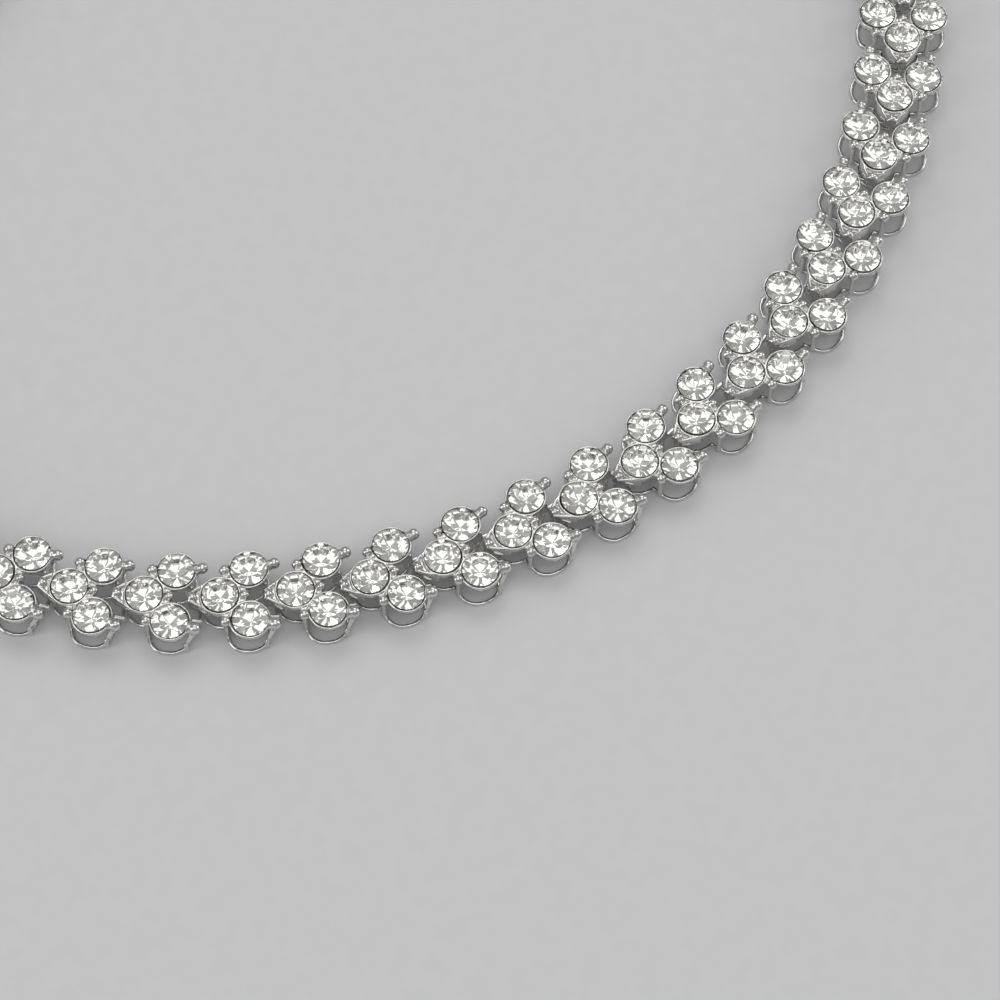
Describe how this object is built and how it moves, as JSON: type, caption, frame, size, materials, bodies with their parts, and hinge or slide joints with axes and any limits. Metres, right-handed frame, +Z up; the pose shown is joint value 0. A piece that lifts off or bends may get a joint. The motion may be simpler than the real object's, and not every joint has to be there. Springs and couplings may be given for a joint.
{
  "type": "rhinestone bracelet",
  "caption": "Flexible bracelet of hooked cast metal links set with clusters of round clear rhinestones, laid as an oval and closed by a plain box clasp.",
  "frame": {"origin": "middle of the oval that the bracelet is laid in, on the surface it lies on", "axes": "+Z up out of the table, +X along the oval's long axis, +Y from the middle towards the clasp"},
  "size_m": [0.0784, 0.0586, 0.0025],
  "materials": {
    "plated_metal": "bright rhodium-like plating on a cast link, polished with slight casting ripple",
    "stone": "clear faceted glass",
    "foil": "silver foil behind each stone, lacquered grey-bronze on the outside"
  },
  "bodies": {
    "root": {"clasp": "plated_metal", "link_01": "plated_metal", "link_02": "plated_metal", "link_03": "plated_metal", "link_04": "plated_metal", "link_05": "plated_metal", "link_06": "plated_metal", "link_07": "plated_metal", "link_08": "plated_metal", "link_09": "plated_metal", "link_10": "plated_metal", "link_11": "plated_metal", "link_12": "plated_metal", "link_13": "plated_metal", "link_14": "plated_metal", "link_15": "plated_metal", "link_16": "plated_metal", "link_17": "plated_metal", "link_18": "plated_metal", "link_19": "plated_metal", "link_20": "plated_metal", "link_21": "plated_metal", "link_22": "plated_metal", "link_23": "plated_metal", "link_24": "plated_metal", "link_25": "plated_metal", "link_26": "plated_metal", "link_27": "plated_metal", "link_28": "plated_metal", "link_29": "plated_metal", "link_30": "plated_metal", "link_31": "plated_metal", "link_32": "plated_metal", "link_33": "plated_metal", "link_34": "plated_metal", "link_35": "plated_metal", "link_36": "plated_metal", "link_37": "plated_metal", "link_38": "plated_metal", "link_39": "plated_metal", "link_40": "plated_metal", "link_41": "plated_metal", "link_42": "plated_metal", "link_43": "plated_metal", "link_44": "plated_metal"}
  },
  "joints": []
}
